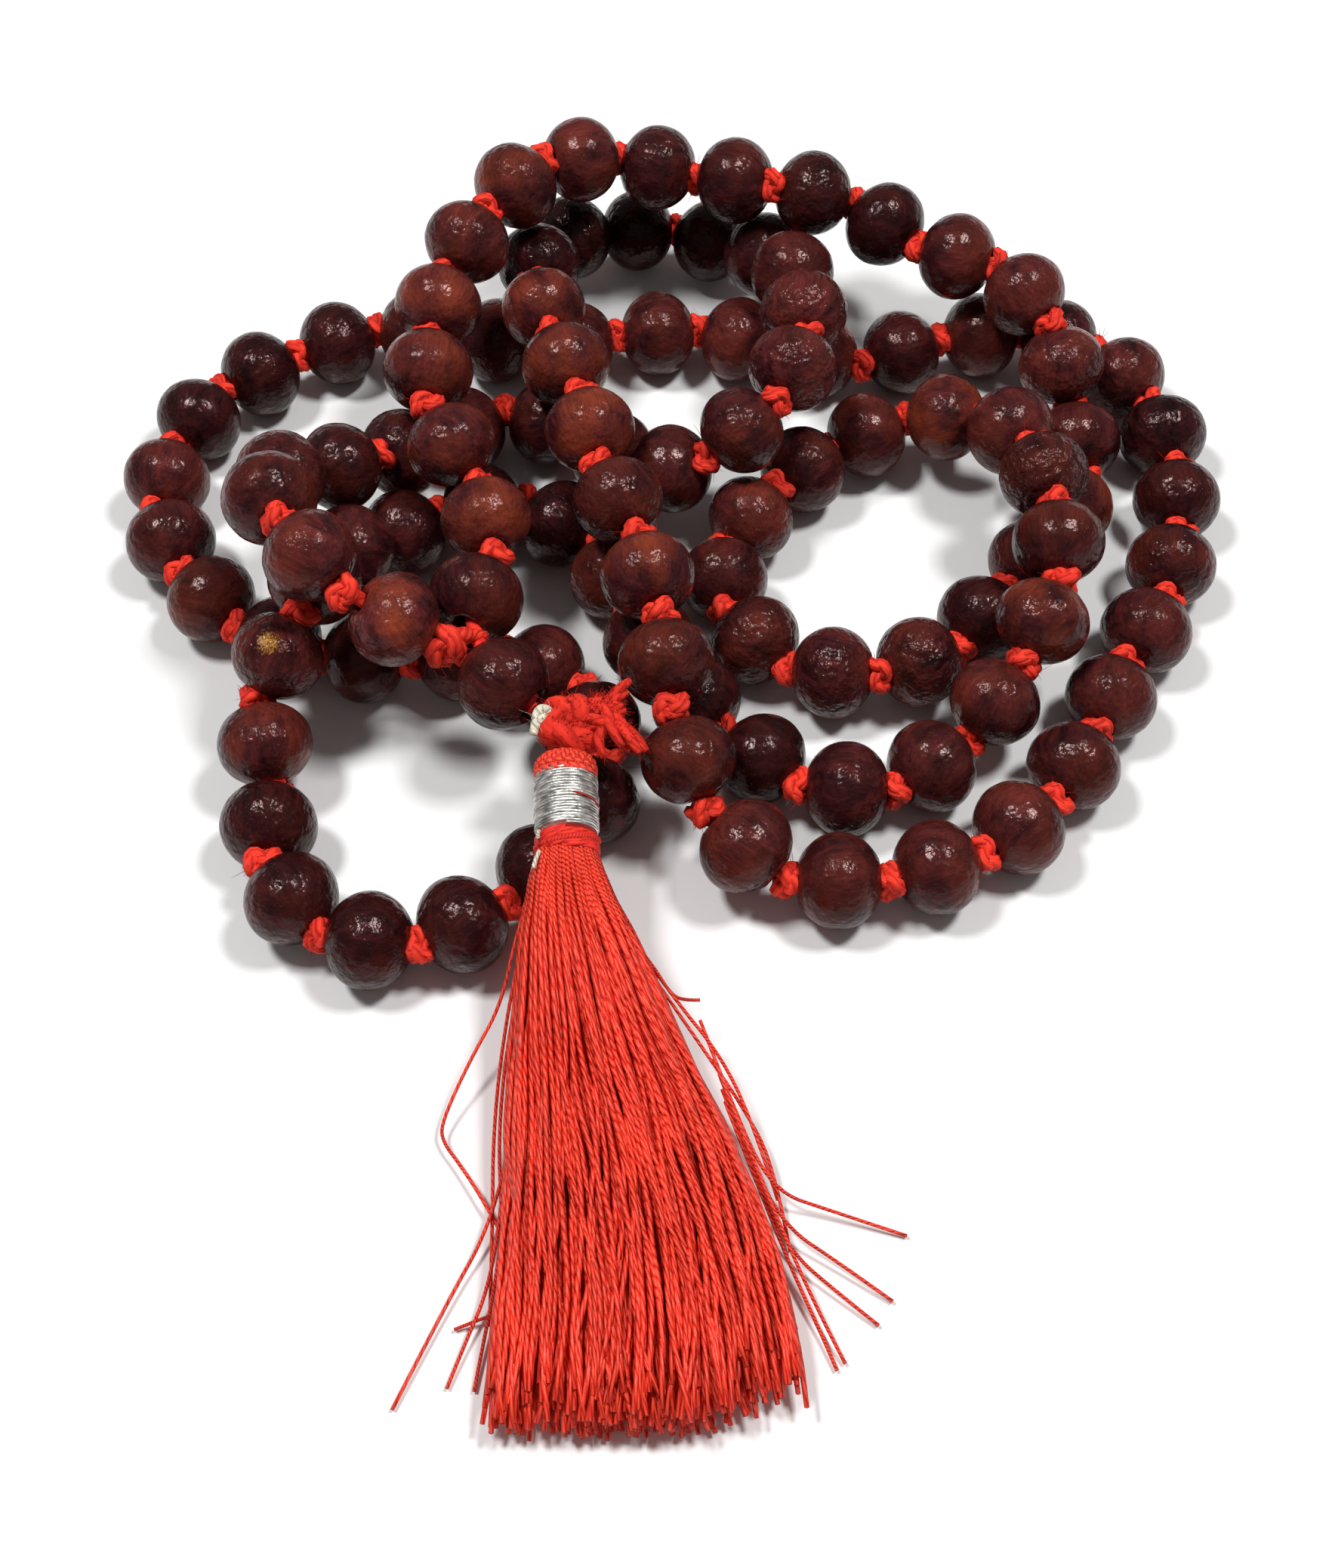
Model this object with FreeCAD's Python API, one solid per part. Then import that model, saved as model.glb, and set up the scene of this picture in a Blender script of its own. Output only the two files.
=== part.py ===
"""Mala prayer beads: 108 turned wooden beads and a guru bead on one knotted red cord, with a thread tassel.

The strand lies in a loose heap on a flat surface.  Millimetres, +Z up, the surface is Z = 0, and +Y runs
from the tassel to the far end of the heap.
"""
import FreeCAD
import Part
import math
import os

V = FreeCAD.Vector

# The numbers below are measured from a point beside the guru bead; the origin is the middle of the footprint
FOOTPRINT_MIDDLE = V(0.35, 5.28, 0)


def at(x, y, z):
    """A point of the heap, measured from the origin."""
    return V(x, y, z) - FOOTPRINT_MIDDLE


# Beads
BEAD_DIAMETER = 7.8         # the fattest beads of a nominal 8 mm strand; turned wood varies a little
BEAD_STEP = 0.10            # each bead is 0, 1 or 2 such steps thinner
BEAD_HALF_LENGTH = 3.2      # along the bore, to the flat at each end
BEAD_END_RADIUS = 1.50      # the flat at each end
BORE_RADIUS = 1.15
MOUTH_RADIUS = 1.42         # the bore is countersunk to this
MOUTH_DEPTH = 0.35

# Cord and its knots
CORD_DIAMETER = 1.2
ARC_SHARE = 0.45            # how much of the shorter run each rounded corner takes
KNOT_RADIUS = 1.5
KNOT_GAP = 0.14             # between a knot and the flat of the bead beside it
KNOT_SWELL = 0.6            # a knot at a bend grows by this share of the cord's way inside the corner
SHARP_TURN = math.radians(25)
CORD_CLEARANCE = 0.12       # round the cord, inside a knot

# Guru bead, which both ends of the cord pass through, one above the other
GURU_CENTRE = at(-13.3, 2.5, 10.9)
GURU_END_RADIUS = 2.1
GURU_BORE_RADIUS = 1.5
GURU_MOUTH_RADIUS = 2.0
GURU_MOUTH_DEPTH = 0.6
JOIN_KNOT_CENTRE = at(-16.8, 5.5, 11.7)
JOIN_KNOT_RADIUS = 1.9

# Tassel: its axis starts at the big knot and runs down towards -Y
HEAD_CENTRE = at(-7.2, -1.7, 11.4)
HEAD_SIZE = (2.8, 2.6, 2.5)             # half sizes along X, Y and Z
TAIL_POINTS = [at(-5.2, -1.6, 12.0), at(-3.3, -2.4, 12.4), at(-2.4, -5.0, 12.3)]
TAIL_RADIUS = 1.25
CORE_POINTS = [at(-8.6, -2.0, 12.2), at(-10.2, -2.9, 12.7), at(-10.9, -4.2, 12.2)]
CORE_RADIUS = 0.55
NECK_TOP = at(-7.4, -4.9, 11.9)          # top of the braided cap
NECK_DIRECTION = V(0.04, -0.985, -0.17)
CAP_LENGTH = 1.5
CAP_RADIUS = 2.55
CAP_ROUNDING = 0.9
WRAP_LENGTH = 5.2
WRAP_RADIUS = 2.7
BINDING_LENGTH = 1.6
BINDING_RADIUS = 2.6
PIECE_GAP = 0.02

# Skirt of the tassel: centre, half width and half height of each section
SKIRT_SECTIONS = [
    (at(-7.1, -13.4, 10.4), 2.5, 2.3),
    (at(-6.7, -19.0, 8.6), 4.4, 2.9),
    (at(-5.6, -28.0, 5.4), 6.8, 3.1),
    (at(-3.6, -41.0, 3.4), 9.2, 2.9),
    (at(-1.4, -55.5, 2.6), 11.0, 2.3),
]

# The cord's route: a point at every knot.  A bead sits at the middle of each run, so the number beside a
# line is that of the bead that follows its first point.
GURU_TO_FIRST_BEAD = [(-10.4, 0.2, 9.9), (-17.5, 5.8, 10.8)]
ROUTE_POINTS = GURU_TO_FIRST_BEAD + [
    # over the left side of the heap, then down and back along the floor
    (-25.5, 6.5, 17), (-30.5, 12, 19), (-33, 19, 16.5), (-31, 24, 11), (-25, 29, 8),
    (-21.5, 34, 3.9), (-14.5, 38, 4.5), (-7, 36, 3.6), (-2.5, 29.8, 4.7),
    # up and over the far double row
    (3.5, 27.8, 9), (9.5, 31.2, 12.8), (12.4, 38.4, 13.2), (12, 46, 12), (11, 53, 9),
    (7.5, 58.5, 5), (1, 62.5, 3.9), (-6.5, 62, 4.5), (-11.5, 56.5, 7.5),
    # the long stretch that comes forward over the middle
    (-12, 48.5, 10), (-10, 40.5, 11.5), (-7.5, 32.5, 12), (-5.5, 24.5, 12), (-2.5, 16.5, 12),
    (-0.5, 8, 12), (0.5, -0.5, 11), (3, -7.5, 7), (9.5, -12, 3.9),
    # round the right side on the floor
    (17.5, -12, 3.9), (25, -9.5, 3.9), (31, -4.5, 3.9), (35, 2.5, 3.9), (38.5, 9.5, 3.9), (42.5, 16.5, 3.9),
    (44.5, 24, 3.9), (45.4, 31.5, 3.9), (44, 39.5, 3.9), (40, 46, 3.9),
    # across the back from right to left
    (33, 49, 3.9), (25.5, 47.5, 3.9), (18, 44.5, 3.9), (10.5, 46.5, 3.9), (3, 49, 3.9), (-4.5, 48, 3.9),
    (-12, 46.5, 3.9), (-19.5, 48.5, 3.9), (-27, 49, 3.9), (-34, 45.5, 3.9),
    # down the left side and in along the floor
    (-40.5, 41, 3.9), (-44, 34, 3.9), (-44.5, 26.5, 3.9), (-41.5, 19.5, 3.9), (-36, 13.5, 3.9), (-29, 10.5, 3.9),
    (-21.5, 10, 3.9), (-13.6, 10.8, 3.9), (-7, 7, 3.9),
    # forward under the tassel and round the near left loop
    (-4.7, -0.7, 3.9), (-7, -8, 3.9), (-12.5, -14, 3.9), (-19, -18, 3.9), (-26.6, -16.8, 3.9), (-31.5, -11, 4.8),
    (-31.5, -3, 3.5), (-33.2, 3.3, 7.3), (-29.5, 8.9, 11.3), (-28, 16.5, 10.5),
    # along the floor under the middle
    (-25.5, 21.2, 4.6), (-20, 26.5, 3.5), (-12.2, 27.1, 4.5), (-6.1, 22.4, 3.9), (-3, 15.5, 3.9), (0, 8.5, 3.9),
    (5, 2.5, 3.9), (10.5, -3, 3.9), (18.5, -3.5, 3.9), (24.5, 1.5, 3.9),
    # up over the right side and back down into the middle
    (29, 6.5, 8), (32.5, 13, 10.5), (32.5, 20.5, 11.5), (31.5, 28, 10.5), (28.5, 34.5, 7.5),
    (21.5, 37, 4.5), (14.5, 34, 3.5), (9.8, 28.4, 4.7), (5, 22.5, 3.5), (4.9, 14.7, 4.5),
    # the inner right loop on the floor
    (10.1, 8.9, 3.8), (17.6, 7.6, 4.9), (24.5, 11, 3.9), (29, 17.5, 3.9), (34, 23.5, 3.9), (37, 30.5, 3.9),
    (36.5, 38, 5),
    # up and over the back to the left, then forward to the join
    (34.5, 43, 10.5), (30, 49.2, 11.6), (23, 52, 11.3), (17.2, 56.8, 12.5), (9.7, 56.2, 15), (3, 59, 13.5),
    (-4.5, 61, 14), (-11.2, 57.5, 16.6), (-16, 51.5, 16), (-19.5, 45, 14.5), (-20.5, 37.5, 14),
    (-20.5, 30, 13.5), (-16, 23.5, 10.5), (-14.1, 15.4, 11),
    # down into the join and back through the guru bead
    (-16.7, 5.3, 12.0), (-10.4, 0.2, 11.2),
]
ROUTE = [at(*point) for point in ROUTE_POINTS]
BEAD_COUNT = len(ROUTE) - 3     # the first and last runs both lie in the guru bead

# Beads that lie clear on the outside of the heap, each free to turn on its own
SPINNING_BEADS = list(range(28, 38)) + list(range(47, 53)) + [60, 61, 62] + list(range(99, 104))
BEAD_GROUPS = [(1, 12), (13, 27), (38, 46), (53, 59), (63, 74), (75, 86), (87, 98), (104, 108)]
KNOT_GROUPS = [(1, 27), (28, 53), (54, 80), (81, 107)]


def placed(shape, centre, direction):
    """A shape modelled at the origin along +Z, moved to centre with +Z turned to direction."""
    shape.Placement = FreeCAD.Placement(centre, FreeCAD.Rotation(V(0, 0, 1), direction))
    return shape


def revolved(edges):
    """A solid turned from a closed outline in the XZ plane."""
    face = Part.Face(Part.Wire(edges))
    return face.revolve(V(0, 0, 0), V(0, 0, 1), 360)


def bored_ball(radius, half_length, end_radius, bore, mouth, mouth_depth):
    """A bead: a bulging side between two flats, and a bore countersunk at both ends."""
    side = Part.Arc(V(end_radius, 0, -half_length), V(radius, 0, 0), V(end_radius, 0, half_length))
    corners = [
        V(end_radius, 0, half_length),
        V(mouth, 0, half_length),
        V(bore, 0, half_length - mouth_depth),
        V(bore, 0, mouth_depth - half_length),
        V(mouth, 0, -half_length),
        V(end_radius, 0, -half_length),
    ]
    lines = [Part.LineSegment(a, b).toShape() for a, b in zip(corners, corners[1:])]
    return revolved([side.toShape()] + lines)


def run_direction(number):
    """The direction of the run that bead number sits on."""
    return (ROUTE[number + 1] - ROUTE[number]).normalize()


def bead_centre(number):
    return (ROUTE[number] + ROUTE[number + 1]) * 0.5


def bead(number):
    """One bead of the strand.  Its size steps through three values, in a mixed order."""
    radius = BEAD_DIAMETER / 2 - BEAD_STEP / 2 * (number * 7 % 3)
    ball = bored_ball(radius, BEAD_HALF_LENGTH, BEAD_END_RADIUS, BORE_RADIUS, MOUTH_RADIUS, MOUTH_DEPTH)
    return placed(ball, bead_centre(number), run_direction(number))


def guru_bead():
    ball = bored_ball(BEAD_DIAMETER / 2, BEAD_HALF_LENGTH, GURU_END_RADIUS, GURU_BORE_RADIUS,
                      GURU_MOUTH_RADIUS, GURU_MOUTH_DEPTH)
    return placed(ball, GURU_CENTRE, (ROUTE[0] - ROUTE[1]).normalize())


def corner(points, index):
    """The rounded corner of a route at one point: its two ends, its middle, its radius and its turn."""
    before = points[index] - points[index - 1]
    after = points[index + 1] - points[index]
    turn = before.getAngle(after)
    reach = ARC_SHARE * min(before.Length, after.Length)
    radius = reach / math.tan(turn / 2)
    start = points[index] - before.normalize() * reach
    end = points[index] + after.normalize() * reach
    inward = ((start + end) * 0.5 - points[index]).normalize()
    middle = points[index] + inward * (radius / math.cos(turn / 2) - radius)
    return start, middle, end, radius, turn


def tube(points, diameter):
    """A round tube of straight runs joined by tangent arcs, and its length."""
    edges = []
    here = points[0]
    radii = []
    turns = []
    for index in range(1, len(points) - 1):
        start, middle, end, radius, turn = corner(points, index)
        edges.append(Part.LineSegment(here, start).toShape())
        edges.append(Part.Arc(start, middle, end).toShape())
        radii.append(radius)
        turns.append(math.degrees(turn))
        here = end
    edges.append(Part.LineSegment(here, points[-1]).toShape())
    path = Part.Wire(edges)
    ring = Part.Wire([Part.Circle(points[0], points[1] - points[0], diameter / 2).toShape()])
    solid = path.makePipeShell([ring], True, False)
    print("radii", " ".join("%.1f" % radius for radius in radii))
    print("tightest radius %.2f, sharpest turn %.0f" % (min(radii), max(turns)))
    section = math.pi * (diameter / 2) ** 2
    print("length %.1f, volume %.2f, section x length %.2f" % (path.Length, solid.Volume, section * path.Length))
    return solid


def beyond_plane(point, direction):
    """A block that fills the far side of a plane near a knot."""
    size = 3 * KNOT_RADIUS
    block = Part.makeBox(2 * size, 2 * size, size, V(-size, -size, 0))
    return placed(block, point, direction)


def largest(shape):
    """The biggest solid that is left after a cut."""
    return max(shape.Solids, key=lambda solid: solid.Volume)


def knot(number):
    """The overhand knot between beads number and number + 1: a ball round the cord, squeezed between their
    flats.  At a sharp bend the beads meet on the inside, so that only the outer half of the knot is left."""
    index = number + 1
    _, middle, _, _, turn = corner(ROUTE, index)
    ahead = run_direction(number + 1)
    behind = run_direction(number) * -1
    outward = ROUTE[index] - middle
    radius = KNOT_RADIUS + KNOT_SWELL * outward.Length
    hole = Part.makeCylinder(CORD_DIAMETER / 2 + CORD_CLEARANCE, 4 * radius, V(0, 0, -2 * radius))
    ball = Part.makeSphere(radius).cut(hole)
    ball.Placement = FreeCAD.Placement(middle, FreeCAD.Rotation(outward, V(0, 0, 0), ahead - behind, "ZXY"))
    reach = BEAD_HALF_LENGTH + KNOT_GAP
    blocks = [
        beyond_plane(bead_centre(number + 1) - ahead * reach, ahead),
        beyond_plane(bead_centre(number) - behind * reach, behind),
    ]
    if turn > SHARP_TURN:
        blocks.append(beyond_plane(middle, outward * -1))
    return largest(ball.cut(blocks))


def join_knot(cord):
    """The larger knot that ties the two ends of the loop together below the guru bead."""
    ball = Part.makeSphere(JOIN_KNOT_RADIUS, JOIN_KNOT_CENTRE)
    left = ball.cut(cord)
    for centre in (bead_centre(1), bead_centre(BEAD_COUNT), GURU_CENTRE):
        left = left.cut(Part.makeSphere(BEAD_DIAMETER / 2 + KNOT_GAP, centre))
    return largest(left)


def ellipsoid(centre, half_sizes):
    matrix = FreeCAD.Matrix()
    matrix.scale(V(*half_sizes))
    shape = Part.makeSphere(1).transformGeometry(matrix)
    shape.translate(centre)
    return shape


def rod(points, radius):
    """A short piece of thread or yarn with a rounded bend at each inner point."""
    edges = []
    here = points[0]
    for index in range(1, len(points) - 1):
        start, middle, end, _, _ = corner(points, index)
        edges.append(Part.LineSegment(here, start).toShape())
        edges.append(Part.Arc(start, middle, end).toShape())
        here = end
    edges.append(Part.LineSegment(here, points[-1]).toShape())
    ring = Part.Wire([Part.Circle(points[0], points[1] - points[0], radius).toShape()])
    return Part.Wire(edges).makePipeShell([ring], True, False)


def skirt():
    """The bundle of threads as one soft solid, narrow under the binding and fanned out on the floor."""
    rings = []
    for centre, half_width, half_height in SKIRT_SECTIONS:
        ellipse = Part.Ellipse(V(0, 0, 0), half_width, half_height).toShape()
        ring = Part.Wire([ellipse])
        ring.Placement = FreeCAD.Placement(centre, FreeCAD.Rotation(V(1, 0, 0), 90))
        rings.append(ring)
    return Part.makeLoft(rings, True, False)


def save(name, solids):
    shape = solids[0] if len(solids) == 1 else Part.makeCompound(solids)
    for solid in solids:
        if not solid.isValid() or len(solid.Solids) != 1 or not solid.isClosed():
            print("NOT A CLOSED VALID SOLID:", name)
    box = shape.optimalBoundingBox(False)
    print("%-24s %3d solids  x %.2f %.2f  y %.2f %.2f  z %.2f %.2f"
          % (name, len(solids), box.XMin, box.XMax, box.YMin, box.YMax, box.ZMin, box.ZMax))
    shape.exportStep("parts/%s.step" % name)


def make_strand():
    cord = tube(ROUTE, CORD_DIAMETER)
    save("cord", [cord])
    for number in SPINNING_BEADS:
        save("bead_%03d" % number, [bead(number)])
    for first, last in BEAD_GROUPS:
        save("beads_%03d_to_%03d" % (first, last), [bead(number) for number in range(first, last + 1)])
    for first, last in KNOT_GROUPS:
        save("knots_%03d_to_%03d" % (first, last), [knot(number) for number in range(first, last + 1)])
    save("guru_bead", [guru_bead()])
    save("join_knot", [join_knot(cord)])


def make_tassel():
    along = V(NECK_DIRECTION).normalize()
    cap = Part.makeCylinder(CAP_RADIUS, CAP_LENGTH, NECK_TOP, along)
    top_rim = min(cap.Edges, key=lambda edge: (edge.CenterOfMass - NECK_TOP).Length)
    cap = cap.makeFillet(CAP_ROUNDING, [top_rim])
    wrap_top = NECK_TOP + along * (CAP_LENGTH + PIECE_GAP)
    wrap = Part.makeCylinder(WRAP_RADIUS, WRAP_LENGTH, wrap_top, along)
    binding_top = wrap_top + along * (WRAP_LENGTH + PIECE_GAP)
    binding = Part.makeCylinder(BINDING_RADIUS, BINDING_LENGTH, binding_top, along)
    head = ellipsoid(HEAD_CENTRE, HEAD_SIZE)
    tail = rod(TAIL_POINTS, TAIL_RADIUS).cut(head)
    core = rod(CORE_POINTS, CORE_RADIUS).cut(head)
    save("tassel_head_knot", [head.cut(cap)])
    save("frayed_tail", [largest(tail)])
    save("core_thread_end", [largest(core)])
    save("braided_cap", [cap])
    save("silver_wire_wrap", [wrap])
    save("thread_binding", [binding])
    save("tassel_skirt", [skirt().cut(binding)])


os.makedirs("parts", exist_ok=True)
make_strand()
make_tassel()
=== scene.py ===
# %% [markdown]
# # Mala prayer beads
# A mala is a string of 108 beads that is counted through the fingers.  This one is turned
# rosewood on a knotted red cotton cord, with a guru bead and a thread tassel, and it lies in a
# loose heap.  Everything is in metres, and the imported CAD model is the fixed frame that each
# piece is built around.

# %% Load the frame
import math
import random

import bpy
from mathutils import Matrix, Vector, noise


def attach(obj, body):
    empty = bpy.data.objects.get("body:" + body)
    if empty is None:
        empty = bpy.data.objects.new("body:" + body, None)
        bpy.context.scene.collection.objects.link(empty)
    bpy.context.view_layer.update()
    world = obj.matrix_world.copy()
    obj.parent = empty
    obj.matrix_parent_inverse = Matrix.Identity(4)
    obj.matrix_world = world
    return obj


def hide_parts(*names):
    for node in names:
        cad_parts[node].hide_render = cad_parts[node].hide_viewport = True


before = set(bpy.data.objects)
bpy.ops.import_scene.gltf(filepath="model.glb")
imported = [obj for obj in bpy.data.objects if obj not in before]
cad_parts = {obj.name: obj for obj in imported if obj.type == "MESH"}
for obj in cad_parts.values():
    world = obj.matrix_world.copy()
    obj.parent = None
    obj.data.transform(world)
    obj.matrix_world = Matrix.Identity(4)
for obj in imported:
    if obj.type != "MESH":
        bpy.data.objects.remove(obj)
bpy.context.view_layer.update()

MM = 0.001

# %% [markdown]
# ## Camera
# The heap is seen from the tassel's side, from 55 degrees above the surface.  A camera that looks
# straight down needs no turn, so a turn of 35 degrees about X is all that this one gets.

# %% Place the camera
camera_data = bpy.data.cameras.new("camera")
camera_data.lens = 52.9
camera_data.clip_start = 0.01
camera = bpy.data.objects.new("camera", camera_data)
camera.location = (-0.00035, -0.11435, 0.15575)
camera.rotation_euler = (math.radians(35), 0, 0)
bpy.context.scene.collection.objects.link(camera)
bpy.context.scene.camera = camera
print("camera at", tuple(camera.location))

# %% [markdown]
# ## The cord's line
# The cord lies in one long limp line with a point at every knot.  A quadratic NURBS line touches
# each run at its middle, and that is just where a bead sits, so the beads are strung on it with
# no fitting.  The line starts and ends in the guru bead.

# %% List the cord's points
FOOTPRINT_MIDDLE = Vector((0.35, 5.28, 0))


def at(x, y, z):
    """A point measured in millimetres from beside the guru bead, as a place in the scene."""
    return (Vector((x, y, z)) - FOOTPRINT_MIDDLE) * MM


ROUTE = [at(*point) for point in [
    (-10.4, 0.2, 9.9), (-17.5, 5.8, 10.8),
    (-25.5, 6.5, 17), (-30.5, 12, 19), (-33, 19, 16.5), (-31, 24, 11), (-25, 29, 8),
    (-21.5, 34, 3.9), (-14.5, 38, 4.5), (-7, 36, 3.6), (-2.5, 29.8, 4.7),
    (3.5, 27.8, 9), (9.5, 31.2, 12.8), (12.4, 38.4, 13.2), (12, 46, 12), (11, 53, 9),
    (7.5, 58.5, 5), (1, 62.5, 3.9), (-6.5, 62, 4.5), (-11.5, 56.5, 7.5),
    (-12, 48.5, 10), (-10, 40.5, 11.5), (-7.5, 32.5, 12), (-5.5, 24.5, 12), (-2.5, 16.5, 12),
    (-0.5, 8, 12), (0.5, -0.5, 11), (3, -7.5, 7), (9.5, -12, 3.9),
    (17.5, -12, 3.9), (25, -9.5, 3.9), (31, -4.5, 3.9),
    (35, 2.5, 3.9), (38.5, 9.5, 3.9), (42.5, 16.5, 3.9),
    (44.5, 24, 3.9), (45.4, 31.5, 3.9), (44, 39.5, 3.9), (40, 46, 3.9),
    (33, 49, 3.9), (25.5, 47.5, 3.9), (18, 44.5, 3.9),
    (10.5, 46.5, 3.9), (3, 49, 3.9), (-4.5, 48, 3.9),
    (-12, 46.5, 3.9), (-19.5, 48.5, 3.9), (-27, 49, 3.9), (-34, 45.5, 3.9),
    (-40.5, 41, 3.9), (-44, 34, 3.9), (-44.5, 26.5, 3.9),
    (-41.5, 19.5, 3.9), (-36, 13.5, 3.9), (-29, 10.5, 3.9),
    (-21.5, 10, 3.9), (-13.6, 10.8, 3.9), (-7, 7, 3.9),
    (-4.7, -0.7, 3.9), (-7, -8, 3.9), (-12.5, -14, 3.9),
    (-19, -18, 3.9), (-26.6, -16.8, 3.9), (-31.5, -11, 4.8),
    (-31.5, -3, 3.5), (-33.2, 3.3, 7.3), (-29.5, 8.9, 11.3), (-28, 16.5, 10.5),
    (-25.5, 21.2, 4.6), (-20, 26.5, 3.5), (-12.2, 27.1, 4.5),
    (-6.1, 22.4, 3.9), (-3, 15.5, 3.9), (0, 8.5, 3.9),
    (5, 2.5, 3.9), (10.5, -3, 3.9), (18.5, -3.5, 3.9), (24.5, 1.5, 3.9),
    (29, 6.5, 8), (32.5, 13, 10.5), (32.5, 20.5, 11.5), (31.5, 28, 10.5), (28.5, 34.5, 7.5),
    (21.5, 37, 4.5), (14.5, 34, 3.5), (9.8, 28.4, 4.7), (5, 22.5, 3.5), (4.9, 14.7, 4.5),
    (10.1, 8.9, 3.8), (17.6, 7.6, 4.9), (24.5, 11, 3.9),
    (29, 17.5, 3.9), (34, 23.5, 3.9), (37, 30.5, 3.9),
    (36.5, 38, 5),
    (34.5, 43, 10.5), (30, 49.2, 11.6), (23, 52, 11.3),
    (17.2, 56.8, 12.5), (9.7, 56.2, 15), (3, 59, 13.5),
    (-4.5, 61, 14), (-11.2, 57.5, 16.6), (-16, 51.5, 16), (-19.5, 45, 14.5), (-20.5, 37.5, 14),
    (-20.5, 30, 13.5), (-16, 23.5, 10.5), (-14.1, 15.4, 11),
    (-16.7, 5.3, 12.0), (-10.4, 0.2, 11.2),
]]
BEAD_COUNT = len(ROUTE) - 3
print("points", len(ROUTE), "beads", BEAD_COUNT)


# %% [markdown]
# ## Threads
# Cord, knots, tassel and wire are all thin round strands.  A strand is easiest as a curve with a
# round bevel, because its thickness can change from point to point.  It is then converted to a
# mesh, which gets a UV map that runs along and round the strand, so that a twist can be painted
# on it later.  Every finished piece is settled in the same way: one material, the body that it
# moves with, and the part of the frame that it stands for.

# %% Make strands from lines of points


def only(piece):
    """Selects one piece and nothing else."""
    bpy.ops.object.select_all(action="DESELECT")
    bpy.context.view_layer.objects.active = piece
    piece.select_set(True)


def join(name, pieces):
    """Joins pieces into one, with the name given."""
    only(pieces[0])
    for piece in pieces[1:]:
        piece.select_set(True)
    if len(pieces) > 1:
        bpy.ops.object.join()
    pieces[0].name = name
    pieces[0].data.name = name
    return pieces[0]


def curve_of(name, lines, thickness, sides=6, steps=4, closed=False, taper=None):
    """One curve piece with a round section of so many sides and so many steps from point to point.

    Each line is a list of points, and taper gives the share of the thickness at each point.
    """
    curve = bpy.data.curves.new(name, "CURVE")
    curve.dimensions = "3D"
    curve.bevel_depth = thickness / 2
    curve.bevel_resolution = (sides - 4) // 2
    curve.resolution_u = steps
    curve.use_fill_caps = True
    for line in lines:
        spline = curve.splines.new("NURBS")
        spline.points.add(len(line) - 1)
        for index, place in enumerate(line):
            spline.points[index].co = (*place, 1)
            if taper:
                spline.points[index].radius = taper[index]
        spline.order_u = 3
        spline.use_endpoint_u = not closed
        spline.use_cyclic_u = closed
    piece = bpy.data.objects.new(name, curve)
    bpy.context.scene.collection.objects.link(piece)
    return piece


def strands(name, lines, thickness, **settings):
    """Round strands as one mesh, with closed ends and a UV map along and round them."""
    piece = curve_of(name, lines, thickness, **settings)
    only(piece)
    bpy.ops.object.convert(target="MESH")
    bpy.ops.object.mode_set(mode="EDIT")
    bpy.ops.mesh.select_all(action="SELECT")
    bpy.ops.mesh.remove_doubles(threshold=1e-6)
    bpy.ops.mesh.normals_make_consistent(inside=False)
    bpy.ops.object.mode_set(mode="OBJECT")
    bpy.ops.object.shade_smooth()
    return bpy.context.object


def settle(piece, material, body, slot, *nodes):
    """Gives a piece its material, its body and the CAD nodes that it stands for; slot is not used."""
    piece.data.materials.clear()
    piece.data.materials.append(material)
    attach(piece, body)
    if nodes:
        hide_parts(*nodes)


# %% [markdown]
# ## Colours and masks that several materials share
# Every thread on the mala is twisted from two or three plies.  The twist is one node group: it
# turns the UV map of a strand into round crowns with a groove between them, and each material
# picks its own number of turns and plies.  A shift makes the twist uneven, and the group also
# puts out the place along each ply, so that fine fibres can follow the spiral.

# %% Build node helpers and the twist group


def add(tree, kind, inputs=None, **settings):
    """Adds a node, sets its inputs from values or links, and its other settings by name."""
    made = tree.nodes.new(kind)
    for name, value in settings.items():
        setattr(made, name, value)
    for name, value in (inputs or {}).items():
        if isinstance(value, bpy.types.NodeSocket):
            tree.links.new(value, made.inputs[name])
        else:
            made.inputs[name].default_value = value
    return made


def sums(tree, operation, first, second=0.0):
    """One step of arithmetic on a value that changes over the surface."""
    made = add(tree, "ShaderNodeMath", {0: first, 1: second}, operation=operation)
    return made.outputs[0]


def noise_at(tree, where, scale, detail=2.0, roughness=0.5, distortion=0.0):
    """A noise that changes over the surface, from about 0 to 1."""
    texture = add(tree, "ShaderNodeTexNoise", {
        "Vector": where, "Scale": scale, "Detail": detail, "Roughness": roughness,
        "Distortion": distortion})
    return texture.outputs["Fac"]


def stretched(tree, where, scale):
    """The same places with each axis scaled, so that a pattern read there runs along an axis."""
    return add(tree, "ShaderNodeMapping", {"Vector": where, "Scale": scale}).outputs["Vector"]


def rescaled(tree, value, old_range, new_range):
    """A value moved from one range to another, and held at its ends."""
    made = add(tree, "ShaderNodeMapRange", {
        "Value": value, "From Min": old_range[0], "From Max": old_range[1],
        "To Min": new_range[0], "To Max": new_range[1]})
    return made.outputs[0]


def mixed(tree, share, first, second):
    """A colour between two colours."""
    made = add(tree, "ShaderNodeMix", {0: share, 6: first, 7: second}, data_type="RGBA")
    return made.outputs[2]


def shaded(tree, color, shade):
    """A colour made darker or lighter."""
    return add(tree, "ShaderNodeHueSaturation", {"Color": color, "Value": shade}).outputs[0]


def bumped(tree, height, depth):
    """A normal that leans with a height, which stands for a relief of the depth given in metres."""
    made = add(tree, "ShaderNodeBump", {"Height": height, "Strength": 1.0, "Distance": depth})
    return made.outputs["Normal"]


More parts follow.
